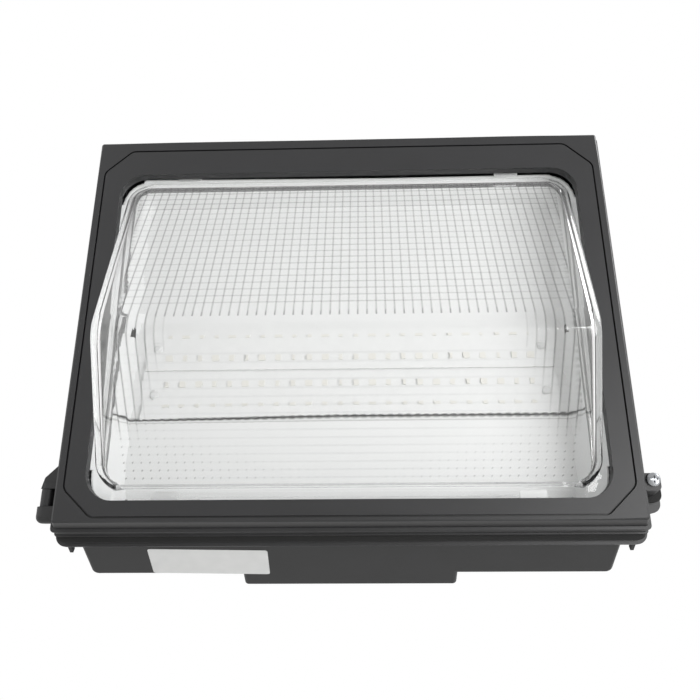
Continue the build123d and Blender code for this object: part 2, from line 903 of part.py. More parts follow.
screw_retainer.part.label = "screw_retainer"
export_step(screw_retainer.part, "parts/screw_retainer.step")

# ---------------------------------------------------------------- LED tray: plate, reflector, boards

plate_mid_up = (plate_low + plate_high) / 2

with BuildPart() as mounting_plate:
    with BuildSketch(face_plane.offset(plate_out - plate_thickness)):
        with Locations((0, plate_mid_up)):
            RectangleRounded(plate_width, plate_high - plate_low, plate_corner_radius)
        with Locations(*ledge_places):
            Circle(tray_screw_hole, mode=Mode.SUBTRACT)
    extrude(amount=plate_thickness)

mounting_plate.part.label = "mounting_plate"
export_step(mounting_plate.part, "parts/mounting_plate.step")

tray_screw = small_screw(small_head_radius, small_shank_radius, small_shank_length)
with BuildPart() as plate_screws:
    for across, up in ledge_places:
        with Locations(at_door(across, up, plate_out)):
            add(tray_screw)

plate_screws.part.label = "plate_screws"
export_step(plate_screws.part, "parts/plate_screws.step")

reflector_mid_up = (reflector_low + reflector_high) / 2

reflector_lean = radians(reflector_slope)
reflector_inset = reflector_sheet * (1 / cos(reflector_lean) - tan(reflector_lean))

with BuildPart() as reflector:
    # Bent sheet: a flat floor with four sides that lean outwards up to the glass
    for lift, inset, mode in (
        (0, 0, Mode.ADD),
        (reflector_sheet, reflector_inset, Mode.SUBTRACT),
    ):
        with BuildSketch(face_plane.offset(plate_out + lift)):
            with Locations((0, reflector_mid_up)):
                RectangleRounded(
                    reflector_width - 2 * inset,
                    reflector_high - reflector_low - 2 * inset,
                    reflector_corner_radius - inset,
                )
        extrude(amount=reflector_rise, taper=-reflector_slope, mode=mode)

reflector.part.label = "reflector"
export_step(reflector.part, "parts/reflector.step")

board_back = plate_out + reflector_sheet
board_front = board_back + board_thickness
board_screw_places = [
    (side * (board_width / 2 - board_screw_inset), 0)
    for side in (-1, 1)
]
board_centres = {
    "lower": board_low + board_height / 2,
    "upper": board_low + 1.5 * board_height + board_gap,
}
board_screw = small_screw(small_head_radius - 0.4, small_shank_radius, board_thickness)

for row, up in board_centres.items():
    with BuildPart() as board:
        with BuildSketch(at_door(0, up, board_back)):
            Rectangle(board_width, board_height)
            with Locations(*board_screw_places):
                Circle(small_shank_radius + 0.1, mode=Mode.SUBTRACT)
        extrude(amount=board_thickness)
    board.part.label = f"led_board_{row}"
    export_step(board.part, f"parts/led_board_{row}.step")

    with BuildPart() as chips:
        with BuildSketch(at_door(0, up, board_front)):
            with GridLocations(chip_pitch_across, chip_pitch_up, chips_across, chip_rows):
                Rectangle(chip_width, chip_height)
        extrude(amount=chip_thickness)
    chips.part.label = f"led_chips_{row}"
    export_step(chips.part, f"parts/led_chips_{row}.step")

with BuildPart() as board_screws:
    for up in board_centres.values():
        for across, shift in board_screw_places:
            with Locations(at_door(across, up + shift, board_front)):
                add(board_screw)

board_screws.part.label = "board_screws"
export_step(board_screws.part, "parts/board_screws.step")

# ---------------------------------------------------------------- LED driver

back_wall_y = pad_depth + wall
driver_mid_z = box_top_z - driver_top_gap - driver_height / 2
driver_screw_x = driver_width / 2 + driver_foot / 2

with BuildPart() as led_driver:
    with BuildSketch(Plane.XZ.offset(back_wall_y)):
        with Locations((0, driver_mid_z)):
            Rectangle(driver_width, driver_height)
    extrude(amount=driver_depth)
    fillet(led_driver.edges().filter_by(Axis.Y), radius=driver_edge_radius)
    with BuildSketch(Plane.XZ.offset(back_wall_y)):
        with Locations((0, driver_mid_z)):
            Rectangle(driver_width + 2 * driver_foot, driver_foot_width)
        with Locations((-driver_screw_x, driver_mid_z), (driver_screw_x, driver_mid_z)):
            Circle(small_shank_radius + 0.1, mode=Mode.SUBTRACT)
    extrude(amount=driver_foot_thickness)

led_driver.part.label = "led_driver"
export_step(led_driver.part, "parts/led_driver.step")

foot_screw = small_screw(small_head_radius, small_shank_radius, driver_foot_thickness)
with BuildPart() as driver_screws:
    seat = Plane.XZ.offset(back_wall_y + driver_foot_thickness)
    for side in (-1, 1):
        with Locations(seat.location * Location((side * driver_screw_x, driver_mid_z, 0))):
            add(foot_screw)

driver_screws.part.label = "driver_screws"
export_step(driver_screws.part, "parts/driver_screws.step")

# ---------------------------------------------------------------- supply terminals and ground screw

with BuildPart() as terminal_block:
    with BuildSketch(Plane.XZ.offset(back_wall_y)):
        with Locations((terminal_x, terminal_z)):
            Rectangle(terminal_width, terminal_height)
    extrude(amount=terminal_depth)
    way = terminal_width / terminal_ways
    with BuildSketch(Plane.XZ.offset(back_wall_y + terminal_depth)):
        with Locations((terminal_x, terminal_z)):
            with GridLocations(way, 1, terminal_ways, 1):
                Circle(way * 0.3)
    extrude(amount=-terminal_depth / 2, mode=Mode.SUBTRACT)

terminal_block.part.label = "terminal_block"
export_step(terminal_block.part, "parts/terminal_block.step")

with BuildPart() as ground_screw:
    seat = Plane.XZ.offset(back_wall_y + ground_boss_height)
    with Locations(seat.location * Location((ground_screw_x, ground_screw_z, 0))):
        add(small_screw(small_head_radius, small_shank_radius, ground_boss_height))

ground_screw.part.label = "ground_screw"
export_step(ground_screw.part, "parts/ground_screw.step")

# ---------------------------------------------------------------- conduit plugs

for side, name in ((-1, "left"), (1, "right")):
    face = Plane(origin=(side * box_width / 2, plug_y, plug_z), x_dir=(0, 1, 0), z_dir=(side, 0, 0))
    with BuildPart() as plug_washer:
        with BuildSketch(face):
            Circle(plug_flange_radius)
            Circle(plug_radius + plug_fit, mode=Mode.SUBTRACT)
        extrude(amount=plug_seal)
    plug_washer.part.label = f"plug_seal_{name}"
    export_step(plug_washer.part, f"parts/plug_seal_{name}.step")

    with BuildPart() as conduit_plug:
        with BuildSketch(face.offset(-wall - 2)):
            Circle(plug_radius)
        extrude(amount=wall + 2 + plug_seal)
        with BuildSketch(face.offset(plug_seal)):
            Circle(plug_flange_radius)
        extrude(amount=plug_flange)
        with BuildSketch(face.offset(plug_seal + plug_flange)):
            RegularPolygon(plug_hex / 2, 6, major_radius=False)
        extrude(amount=plug_hex_height)
    conduit_plug.part.label = f"conduit_plug_{name}"
    export_step(conduit_plug.part, f"parts/conduit_plug_{name}.step")
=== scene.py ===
# Wall pack light: the dressed part, in the same frame as the CAD.

import math

import bmesh
import bpy
from mathutils import Matrix, Vector


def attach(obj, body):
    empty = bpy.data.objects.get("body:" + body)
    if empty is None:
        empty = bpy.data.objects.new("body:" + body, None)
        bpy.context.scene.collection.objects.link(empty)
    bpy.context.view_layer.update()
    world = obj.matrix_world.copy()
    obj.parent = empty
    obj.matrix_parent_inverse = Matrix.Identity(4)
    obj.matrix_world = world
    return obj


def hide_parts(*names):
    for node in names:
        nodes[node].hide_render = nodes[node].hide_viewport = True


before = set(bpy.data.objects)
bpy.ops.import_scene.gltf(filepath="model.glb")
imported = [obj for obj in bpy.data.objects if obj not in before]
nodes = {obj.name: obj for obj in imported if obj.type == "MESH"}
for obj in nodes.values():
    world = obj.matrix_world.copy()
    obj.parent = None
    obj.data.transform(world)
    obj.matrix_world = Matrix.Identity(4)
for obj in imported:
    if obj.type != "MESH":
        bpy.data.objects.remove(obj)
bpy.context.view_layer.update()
print("frame loaded,", len(nodes), "nodes")

mm = 0.001

# The door's own directions: across, up along the slanted face, and out
door = {"slant": 32.0, "lowEdge": (0.0, -75.5, -83.5)}
slant = math.radians(door["slant"])
doorTurn = Matrix((
    (1, 0, 0),
    (0, -math.sin(slant), -math.cos(slant)),
    (0, math.cos(slant), -math.sin(slant)),
))


def fromDoor(across, up, out):
    # Door millimetres to the frame's metres
    return (doorTurn @ Vector((across, up, out)) + Vector(door["lowEdge"])) * mm


def toDoor(point):
    return doorTurn.transposed() @ (point / mm - Vector(door["lowEdge"]))


# The camera is a pinhole fitted to the door face's edges, placed in door millimetres
view = {
    "across": 13.19, "up": -41.53, "out": 410.75,
    "tilt": 19.506, "pan": 1.470, "roll": -0.659,
    "lens": 36.0, "sensor": 36.0,
}
cameraData = bpy.data.cameras.new("photoView")
cameraData.lens = view["lens"]
cameraData.sensor_width = view["sensor"]
camera = bpy.data.objects.new("photoView", cameraData)
bpy.context.scene.collection.objects.link(camera)
aim = (
    Matrix.Rotation(math.radians(view["tilt"]), 3, "X")
    @ Matrix.Rotation(math.radians(view["pan"]), 3, "Y")
    @ Matrix.Rotation(math.radians(view["roll"]), 3, "Z")
)
camera.matrix_world = Matrix.Translation(
    fromDoor(view["across"], view["up"], view["out"])
) @ (doorTurn @ aim).to_4x4()
bpy.context.scene.camera = camera
bpy.context.scene.view_settings.view_transform = "Standard"
print("camera placed")


def linear(hexColour):
    # sRGB hex to the linear values that the shaders use
    channels = [int(hexColour[i:i + 2], 16) / 255 for i in (0, 2, 4)]
    return tuple(
        c / 12.92 if c <= 0.04045 else ((c + 0.055) / 1.055) ** 2.4 for c in channels
    ) + (1.0,)


def addNode(tree, kind, settings=None, inputs=None):
    # Adds one node; inputs takes values, or sockets to link from
    node = tree.nodes.new(kind)
    for name, value in (settings or {}).items():
        setattr(node, name, value)
    for name, value in (inputs or {}).items():
        socket = node.inputs[name]
        if isinstance(value, bpy.types.NodeSocket):
            tree.links.new(value, socket)
        else:
            socket.default_value = value
    return node


def newMaterial(name):
    material = bpy.data.materials.new(name)
    material.use_nodes = True
    tree = material.node_tree
    return material, tree, tree.nodes["Principled BSDF"]


def link(tree, output, shader, socket):
    tree.links.new(output, shader.inputs[socket])


def setAll(shader, values):
    for name, value in values.items():
        shader.inputs[name].default_value = value


def dress(material, *names):
    # A CAD node keeps its mesh and gets the finish in its slots
    for name in names:
        mesh = nodes[name].data
        mesh.materials.clear()
        mesh.materials.append(material)


def makeMottled(name, finish):
    # A finish whose colour drifts between two shades, in patches of a real size
    material, tree, shader = newMaterial(name)
    place = addNode(tree, "ShaderNodeTexCoord")
    drift = addNode(tree, "ShaderNodeTexNoise", None, {
        "Vector": place.outputs["Object"], "Scale": 1 / (finish["patchMm"] * mm),
        "Detail": finish["detail"],
    })
    ramp = addNode(tree, "ShaderNodeValToRGB", None, {"Fac": drift.outputs["Fac"]})
    for stop, shade in zip(ramp.color_ramp.elements, finish["shades"]):
        stop.color = linear(shade)
    link(tree, ramp.outputs["Color"], shader, "Base Color")
    setAll(shader, finish["shader"])
    return material


def makeUnevenGloss(name, finish):
    # A finish of one colour, whose roughness drifts between two values
    material, tree, shader = newMaterial(name)
    place = addNode(tree, "ShaderNodeTexCoord")
    drift = addNode(tree, "ShaderNodeTexNoise", None, {
        "Vector": place.outputs["Object"], "Scale": 1 / (finish["patchMm"] * mm),
        "Detail": finish["detail"],
    })
    gloss = addNode(tree, "ShaderNodeMapRange", None, {
        "Value": drift.outputs["Fac"],
        "To Min": finish["roughness"][0], "To Max": finish["roughness"][1],
    })
    link(tree, gloss.outputs[0], shader, "Roughness")
    setAll(shader, {"Base Color": linear(finish["colour"]), **finish["shader"]})
    return material


# Polyester powder coat, sprayed and baked: satin charcoal with a fine orange peel
coat = {
    "colour": "171718", "pale": "202022", "cloudMm": 35, "peelMm": 0.9, "grainMm": 0.35,
    "peelStrength": 0.25, "peelDeepMm": 0.04, "shader": {"Roughness": 0.46, "IOR": 1.5},
}
powderCoat, tree, shader = newMaterial("powder_coat_charcoal")
place = addNode(tree, "ShaderNodeTexCoord")
clouds = addNode(tree, "ShaderNodeTexNoise", None, {
    "Vector": place.outputs["Object"], "Scale": 1 / (coat["cloudMm"] * mm), "Detail": 3.0,
})
tint = addNode(tree, "ShaderNodeMix", {"data_type": "RGBA"}, {
    0: clouds.outputs["Fac"], 6: linear(coat["colour"]), 7: linear(coat["pale"]),
})
link(tree, tint.outputs[2], shader, "Base Color")
peel = addNode(tree, "ShaderNodeTexNoise", None, {
    "Vector": place.outputs["Object"], "Scale": 1 / (coat["peelMm"] * mm), "Detail": 2.0,
})
grain = addNode(tree, "ShaderNodeTexNoise", None, {
    "Vector": place.outputs["Object"], "Scale": 1 / (coat["grainMm"] * mm), "Detail": 1.0,
})
both = addNode(tree, "ShaderNodeMath", {"operation": "ADD"}, {
    0: peel.outputs["Fac"], 1: grain.outputs["Fac"],
})
bump = addNode(tree, "ShaderNodeBump", None, {
    "Strength": coat["peelStrength"], "Distance": coat["peelDeepMm"] * mm,
    "Height": both.outputs[0],
})
link(tree, bump.outputs["Normal"], shader, "Normal")
setAll(shader, coat["shader"])
dress(powderCoat, "housing", "door_frame", "conduit_plug_left", "conduit_plug_right")

# EPDM rubber, moulded: matt black with a trace of bloom
rubber = {
    "shades": ("0c0c0c", "141414"), "patchMm": 6, "detail": 4.0,
    "shader": {"Roughness": 0.86, "IOR": 1.52},
}
dress(
    makeMottled("epdm_rubber_moulded", rubber),
    "wall_gasket", "door_gasket", "lens_gasket", "plug_seal_left", "plug_seal_right",
)

# Zinc plated steel: bright and slightly blue grey, with turned rings too fine to see
zinc = {
    "colour": "96989b", "patchMm": 1.5, "detail": 3.0, "roughness": (0.2, 0.34),
    "shader": {"Metallic": 1.0},
}
dress(
    makeUnevenGloss("zinc_plated_steel", zinc),
    "captive_screw", "screw_retainer", "lens_clip_screws",
    "plate_screws", "driver_screws", "hinge_pin",
)

# Zinc flake coat, dipped and spun on spring strip: pale silver grey, matt
flake = {
    "colour": "d6d7d7", "patchMm": 0.8, "detail": 2.0, "roughness": (0.5, 0.6),
    "shader": {"Metallic": 0.3},
}
dress(makeUnevenGloss("zinc_flake_coated_steel", flake), "lens_clips")

# White lacquer, baked on the board screws' heads: matt, so that they sink into the boards
lacquer = {
    "colour": "c3c4c4", "patchMm": 0.6, "detail": 2.0, "roughness": (0.6, 0.75),
    "shader": {"IOR": 1.45},
}
dress(makeUnevenGloss("white_lacquered_steel", lacquer), "board_screws")

# Rolled aluminium sheet: pale satin with the mill's fine lines along one way
sheetMetal = {"colour": "d5d6d8", "lineLongMm": 25, "lineWideMm": 0.4, "roughness": (0.3, 0.5)}
mill, tree, shader = newMaterial("rolled_aluminium_sheet")
place = addNode(tree, "ShaderNodeTexCoord")
lines = addNode(tree, "ShaderNodeMapping", None, {
    "Vector": place.outputs["Object"],
    "Scale": (
        1 / (sheetMetal["lineLongMm"] * mm),
        1 / (sheetMetal["lineWideMm"] * mm),
        1 / (sheetMetal["lineWideMm"] * mm),
    ),
})
grain = addNode(tree, "ShaderNodeTexNoise", None, {
    "Vector": lines.outputs["Vector"], "Scale": 1.0, "Detail": 2.0,
})
gloss = addNode(tree, "ShaderNodeMapRange", None, {
    "Value": grain.outputs["Fac"],
    "To Min": sheetMetal["roughness"][0], "To Max": sheetMetal["roughness"][1],
})
link(tree, gloss.outputs[0], shader, "Roughness")
setAll(shader, {"Base Color": linear(sheetMetal["colour"]), "Metallic": 1.0})
dress(mill, "mounting_plate", "led_driver")

# White enamelled steel sheet: bright, glossy, a faint roller texture.
# Its dark marks are in door millimetres: a painted shadow below the boards' lower edge, the
# sheet's seam under it, and painted shade in two slots
reflector = {
    "colour": "d0d1d1", "shadeAndSeam": "141414", "rollerMm": 1.2, "rollerStrength": 0.15,
    "rollerDeepMm": 0.03, "shader": {"Roughness": 0.35, "IOR": 1.5},
    "boardShadowUp": 72.8, "boardShadowHalf": 1.5,
    "lineUp": 69.9, "lineHalf": 0.8, "lineShare": 0.62,
    "slotAcross": 146.8, "slotUp": 130.4, "slotHalfWide": 1.2, "slotHalfHigh": 4.6,
}
enamel, tree, shader = newMaterial("white_enamelled_steel")
place = addNode(tree, "ShaderNodeTexCoord")
roller = addNode(tree, "ShaderNodeTexNoise", None, {
    "Vector": place.outputs["Object"], "Scale": 1 / (reflector["rollerMm"] * mm), "Detail": 2.0,
})
bump = addNode(tree, "ShaderNodeBump", None, {
    "Strength": reflector["rollerStrength"], "Distance": reflector["rollerDeepMm"] * mm,
    "Height": roller.outputs["Fac"],
})
link(tree, bump.outputs["Normal"], shader, "Normal")
# The painted shadow under the boards' lower edge, from its height up the door
doorUp = doorTurn.col[1]
upFace = addNode(tree, "ShaderNodeVectorMath", {"operation": "DOT_PRODUCT"}, {
    0: place.outputs["Object"], 1: doorUp,
})
fromBoardShadow = addNode(tree, "ShaderNodeMath", {"operation": "SUBTRACT"}, {
    0: upFace.outputs["Value"],
    1: reflector["boardShadowUp"] * mm + doorUp.dot(Vector(door["lowEdge"])) * mm,
})
toBoardShadow = addNode(tree, "ShaderNodeMath", {"operation": "ABSOLUTE"}, {0: fromBoardShadow.outputs[0]})
boardShadowShade = addNode(tree, "ShaderNodeMapRange", {"interpolation_type": "SMOOTHSTEP"}, {
    "Value": toBoardShadow.outputs[0], "From Max": reflector["boardShadowHalf"] * mm,
})
# The sheet's seam under it, a fainter dark line
fromLine = addNode(tree, "ShaderNodeMath", {"operation": "ADD"}, {
    0: fromBoardShadow.outputs[0], 1: (reflector["boardShadowUp"] - reflector["lineUp"]) * mm,
})
toLine = addNode(tree, "ShaderNodeMath", {"operation": "ABSOLUTE"}, {0: fromLine.outputs[0]})
lineShade = addNode(tree, "ShaderNodeMapRange", {"interpolation_type": "SMOOTHSTEP"}, {
    "Value": toLine.outputs[0], "From Max": reflector["lineHalf"] * mm,
    "To Min": reflector["lineShare"],
})
shadowAndSeam = addNode(tree, "ShaderNodeMath", {"operation": "MULTIPLY"}, {
    0: boardShadowShade.outputs[0], 1: lineShade.outputs[0],
})
# A slot each side, where the sheet's tab is bent out: not cut, but painted dark as painted shade
axes = addNode(tree, "ShaderNodeSeparateXYZ", None, {"Vector": place.outputs["Object"]})
fromMiddle = addNode(tree, "ShaderNodeMath", {"operation": "ABSOLUTE"}, {0: axes.outputs["X"]})
besideSlot = addNode(tree, "ShaderNodeMath", {"operation": "COMPARE"}, {
    0: fromMiddle.outputs[0], 1: reflector["slotAcross"] * mm, 2: reflector["slotHalfWide"] * mm,
})
alongSlot = addNode(tree, "ShaderNodeMath", {"operation": "COMPARE"}, {
    0: fromBoardShadow.outputs[0], 1: (reflector["slotUp"] - reflector["boardShadowUp"]) * mm,
    2: reflector["slotHalfHigh"] * mm,
})
slotShadeMask = addNode(tree, "ShaderNodeMath", {"operation": "MULTIPLY"}, {
    0: besideSlot.outputs[0], 1: alongSlot.outputs[0],
})
shadowSeamAndSlotShade = addNode(tree, "ShaderNodeMath", {"operation": "SUBTRACT", "use_clamp": True}, {
    0: shadowAndSeam.outputs[0], 1: slotShadeMask.outputs[0],
})
# The painted shadow, the seam and the painted slot shade darken the white sheet here
tint = addNode(tree, "ShaderNodeMix", {"data_type": "RGBA"}, {
    0: shadowSeamAndSlotShade.outputs[0], 6: linear(reflector["shadeAndSeam"]), 7: linear(reflector["colour"]),
})
link(tree, tint.outputs[2], shader, "Base Color")
setAll(shader, reflector["shader"])
dress(enamel, "reflector")

# White solder mask, screen printed on the boards: even, with a soft gloss
boards = {
    "shades": ("cccdcd", "d3d4d4"), "patchMm": 4, "detail": 2.0,
    "shader": {"Roughness": 0.3, "IOR": 1.5},
}
dress(makeMottled("white_solder_mask", boards), "led_board_lower", "led_board_upper")

# Phosphor in silicone, cast over the LED chips: pale and faintly warm, with a soft gloss
chips = {
    "shades": ("c9c8c3", "d0cfca"), "patchMm": 0.5, "detail": 2.0,
    "shader": {"Roughness": 0.4, "IOR": 1.41},
}
dress(makeMottled("phosphor_silicone", chips), "led_chips_lower", "led_chips_upper")

# Nylon, injection moulded, for the supply terminals: cream with a soft sheen
terminals = {
    "shades": ("d8d6cc", "e0ded5"), "patchMm": 3, "detail": 2.0,
    "shader": {"Roughness": 0.48, "IOR": 1.53},
}
dress(makeMottled("nylon_moulded", terminals), "terminal_block")

# Green passivated zinc on the ground screw: a dyed, half metallic green
groundScrew = {
    "shades": ("1f6b3a", "2f8049"), "patchMm": 1, "detail": 2.0,
    "shader": {"Roughness": 0.35, "Metallic": 0.8},
}
dress(makeMottled("green_passivated_zinc", groundScrew), "ground_screw")

# Soda-lime glass, pressed in a mould: clear and colourless, with a softly rippled skin
# groove is the near black painted into the prism grooves and the steep side walls, as painted
# shade and painted reflection
glassSkin = {
    "colour": "fcfcfc", "groove": "0c0c0c", "rippleMm": 14, "rippleStrength": 0.3,
    "rippleDeepMm": 0.15, "shader": {"Roughness": 0.02, "IOR": 1.5, "Transmission Weight": 1.0},
}


def makeGlass(name):
    material, tree, shader = newMaterial(name)
    place = addNode(tree, "ShaderNodeTexCoord")
    ripple = addNode(tree, "ShaderNodeTexNoise", None, {
        "Vector": place.outputs["Object"], "Scale": 1 / (glassSkin["rippleMm"] * mm),
        "Detail": 1.0,
    })
    bump = addNode(tree, "ShaderNodeBump", None, {
        "Strength": glassSkin["rippleStrength"], "Distance": glassSkin["rippleDeepMm"] * mm,
        "Height": ripple.outputs["Fac"],
    })
    link(tree, bump.outputs["Normal"], shader, "Normal")
    setAll(shader, {"Base Color": linear(glassSkin["colour"]), **glassSkin["shader"]})
    return material, tree, shader


pressedGlass = makeGlass("pressed_soda_lime_glass")[0]

# The same glass where prisms are pressed in: light turns away in the grooves, which read grey,
# and that grey is painted into the glass's colour as painted shade
prismGlass, tree, shader = makeGlass("pressed_soda_lime_prisms_painted_shade")
groove = addNode(tree, "ShaderNodeAttribute", {"attribute_name": "groove"})
tint = addNode(tree, "ShaderNodeMix", {"data_type": "RGBA"}, {
    0: groove.outputs["Fac"], 6: linear(glassSkin["colour"]), 7: linear(glassSkin["groove"]),
})
link(tree, tint.outputs[2], shader, "Base Color")
print("materials done")

# The refractor is smooth outside, with prisms on its inner skin. All of it is in door
# millimetres, and the bowl's outline is given as (up, out)
bowl = {
    "low": (18.9, -1.0), "ridge": (98.0, 60.0), "high": (227.0, -1.0),
    "ridgeRadius": 18.0, "wall": 4.0,
    "skinLow": 18, "skinHigh": 224,  # the inner skin lies between these heights
    "creaseDegrees": 32,
}
prisms = {
    "flutePitch": 5.11, "fluteFrom": 2.7, "flutes": 27, "fluteSteps": (1.75, 3.4),
    "flutesEnd": 105.5,
    "highPitch": 5.26, "highFrom": 115.0, "highRows": 20, "highLine": 219.9,
    "lowPitch": 4.05, "lowFrom": 26.1, "lowRows": 16,
    "low": 21.0, "lowEdge": 23.0, "high": 222.6,
    "side": 139.5, "sideLean": 0.248, "cornerHigh": 356.5, "cornerLow": 112.5,
    "crown": 0.06, "edgeFade": 1.5, "grooveHalf": 0.8,
    "ridgeSteps": 8, "ridgeHeights": (105.4, 105.6, 107.5, 109.5, 112.0),
    "rowMargin": 0.6, "lowMargin": 1, "noRow": 9.0, "lineGap": 0.1,
}
near = {"weld": 0.001, "cut": 0.0001, "skin": 0.06, "edge": 0.01}
ridge = Vector(bowl["ridge"])
highSlope = Vector(bowl["high"]) - ridge
lowSlope = ridge - Vector(bowl["low"])
highNormal = Vector((-highSlope.y, highSlope.x)).normalized()
lowNormal = Vector((-lowSlope.y, lowSlope.x)).normalized()
ridgeCentre = ridge - (
    (highNormal + lowNormal) * bowl["ridgeRadius"] / (1 + highNormal.dot(lowNormal))
)
skinRadius = bowl["ridgeRadius"] - bowl["wall"]
roundHigh = ridgeCentre.x + skinRadius * highNormal.x
roundLow = ridgeCentre.x + skinRadius * lowNormal.x


def skinAt(up):
    # The inner skin at one height: how far out it lies, and its normal
    if up > roundHigh:
        normal = highNormal
    elif up < roundLow:
        normal = lowNormal
    else:
        lift = up - ridgeCentre.x
        normal = Vector((lift, math.sqrt(skinRadius ** 2 - lift ** 2))).normalized()
        return ridgeCentre.y + skinRadius * normal.y, normal
    return ridge.y - (bowl["wall"] + normal.x * (up - ridge.x)) / normal.y, normal


def sideLimit(up):
    # How far across the prisms reach at one height
    return min(
        prisms["side"] - prisms["sideLean"] * skinAt(up)[0],
        prisms["cornerHigh"] - up,
        prisms["cornerLow"] + up,
    )


def onSkin(vertex):
    across, up, out = vertex.co
    return bowl["skinLow"] < up < bowl["skinHigh"] and abs(out - skinAt(up)[0]) < near["skin"]


def inPrisms(vertex):
    across, up, out = vertex.co
    return (
        prisms["low"] - near["edge"] < up < prisms["high"] + near["edge"]
        and abs(across) < sideLimit(up) + near["edge"]
    )


def nearest(value, start, pitch):
    # Distance to the nearest of a row of evenly spaced lines
    return abs((value - start + pitch / 2) % pitch - pitch / 2)


def rise(distance, pitch):
    # 0 on a groove, 1 in the middle of a cell
    return 1 - (1 - min(1, 2 * distance / pitch)) ** 2


def clampShare(value):
    return min(1, max(0, value))


def rowAt(up):
    # Distance to the nearest cross groove, and the rows' pitch there
    if up > prisms["highLine"] - prisms["rowMargin"]:
        return min(abs(up - prisms["highLine"]), prisms["high"] - up), prisms["highPitch"]
    if up > prisms["highFrom"] - prisms["rowMargin"]:
        return nearest(up, prisms["highFrom"], prisms["highPitch"]), prisms["highPitch"]
    lowEnd = prisms["lowFrom"] + prisms["lowPitch"] * prisms["lowRows"] - prisms["lowMargin"]
    if up < lowEnd:
        return nearest(up, prisms["lowFrom"], prisms["lowPitch"]), prisms["lowPitch"]
    return prisms["noRow"], prisms["lowPitch"]


# Below flutesEnd the flutes' painted shade shows over the ridge only near the sides, and dies out
# further down
sideFlutes = {
    "reach": 96, "spreadBelow": 88, "spreadFrom": 100, "spread": 0.4, "fade": 12, "end": 44,
}


def fluteShare(across, up):
    if up > prisms["flutesEnd"]:
        return 1.0
    reach = sideFlutes["reach"]
    if up <= sideFlutes["spreadBelow"]:
        reach = sideFlutes["spreadFrom"] + (sideFlutes["spreadBelow"] - up) * sideFlutes["spread"]
    beside = clampShare((abs(across) - reach) / sideFlutes["fade"])
    return beside * clampShare((up - sideFlutes["end"]) / sideFlutes["fade"])


# Painted shade in the grooves: how dark each groove is painted, from 0 to 1. A "Side" value is
# what changes from the middle to the sides, and crossings of flutes and rows get a painted dark
# dot
grooveShade = {
    "flute": 0.62, "fluteSide": 0.26,
    "fluteTip": 0.92, "fluteTipLong": 4, "fluteTipSide": 0.75,
    "highLine": 0.9, "topRow": 0.68, "topFrom": 196,
    "highRow": 0.58, "highRowSide": 0.26, "highDot": 0.3,
    "lowRow": 0.2, "lowRowSide": 0.16, "lowDotSide": 1.1, "lowDotFrom": 30, "lowDotFade": 30,
    "end": 0.35, "endSwing": 0.25, "endTurn": 1.9, "endReach": 3.5,
    "plainBelow": 62, "plainBeyond": 133,
}


def grooveAt(across, up):
    if up < grooveShade["plainBelow"] and abs(across) > grooveShade["plainBeyond"]:
        return 0.0
    half = prisms["grooveHalf"]
    side = min(1, abs(across) / prisms["side"])
    flute = max(0, 1 - nearest(across, prisms["fluteFrom"], prisms["flutePitch"]) / half)
    row = max(0, 1 - rowAt(up)[0] / half)
    fluteDepth = fluteShare(across, up) * (
        grooveShade["flute"] + grooveShade["fluteSide"] * side ** 2
    )
    overEnd = up - prisms["flutesEnd"]
    if 0 < overEnd < grooveShade["fluteTipLong"] and side < grooveShade["fluteTipSide"]:
        fluteDepth = grooveShade["fluteTip"]
    dot = grooveShade["highDot"]
    if up > prisms["highLine"] - prisms["rowMargin"]:
        rowDepth = grooveShade["highLine"]
    elif up > grooveShade["topFrom"]:
        rowDepth = grooveShade["topRow"]
    elif up > prisms["flutesEnd"]:
        rowDepth = grooveShade["highRow"] - grooveShade["highRowSide"] * side
    else:
        rowDepth = grooveShade["lowRow"] - grooveShade["lowRowSide"] * side
        faded = max(0, up - grooveShade["lowDotFrom"]) / grooveShade["lowDotFade"]
        dot = max(0, grooveShade["lowDotSide"] * side - faded)
    ends = max(0, 1 - (sideLimit(up) - abs(across)) / grooveShade["endReach"]) * (
        grooveShade["end"] + grooveShade["endSwing"] * math.cos(up * grooveShade["endTurn"])
    )
    crossed = (1 - flute * fluteDepth) * (1 - row * rowDepth) * (1 - flute * row * dot)
    return 1 - crossed * (1 - ends)


# A copy of the CAD lens is cut along the prisms' outline, and opened there
shell = bmesh.new()
shell.from_mesh(nodes["lens"].data)
bmesh.ops.remove_doubles(shell, verts=shell.verts, dist=near["weld"] * mm)
for vertex in shell.verts:
    vertex.co = toDoor(vertex.co)
cuts = [((0, 1, 0), (0, prisms["low"], 0)), ((0, 1, 0), (0, prisms["high"], 0))]
for hand in (-1, 1):
    cuts += [
        ((hand, 0, prisms["sideLean"]), (hand * prisms["side"], 0, 0)),
        ((hand, 1, 0), (hand * prisms["cornerHigh"], 0, 0)),
        ((hand, -1, 0), (hand * prisms["cornerLow"], 0, 0)),
    ]
for normal, spot in cuts:
    skin = [face for face in shell.faces if all(onSkin(vertex) for vertex in face.verts)]
    edges = {edge for face in skin for edge in face.edges}
    corners = {vertex for face in skin for vertex in face.verts}
    bmesh.ops.bisect_plane(
        shell, geom=[*skin, *edges, *corners], dist=near["cut"],
        plane_co=spot, plane_no=Vector(normal).normalized(),
    )
gone = [
    face for face in shell.faces
    if all(onSkin(vertex) and inPrisms(vertex) for vertex in face.verts)
]
bmesh.ops.delete(shell, geom=gone, context="FACES")

# The steep side walls are looked through lengthwise, and are painted a little grey, most in the
# high corners: a painted dark reflection of the door frame
sideWalls = {
    "mouthHalf": 150, "lean": 0.157, "clearance": 2.2, "lip": -4, "gap": 2,
    "low": 22, "high": 222, "grey": 0.02, "greyRise": 0.6, "riseFrom": 130, "riseOver": 90,
}
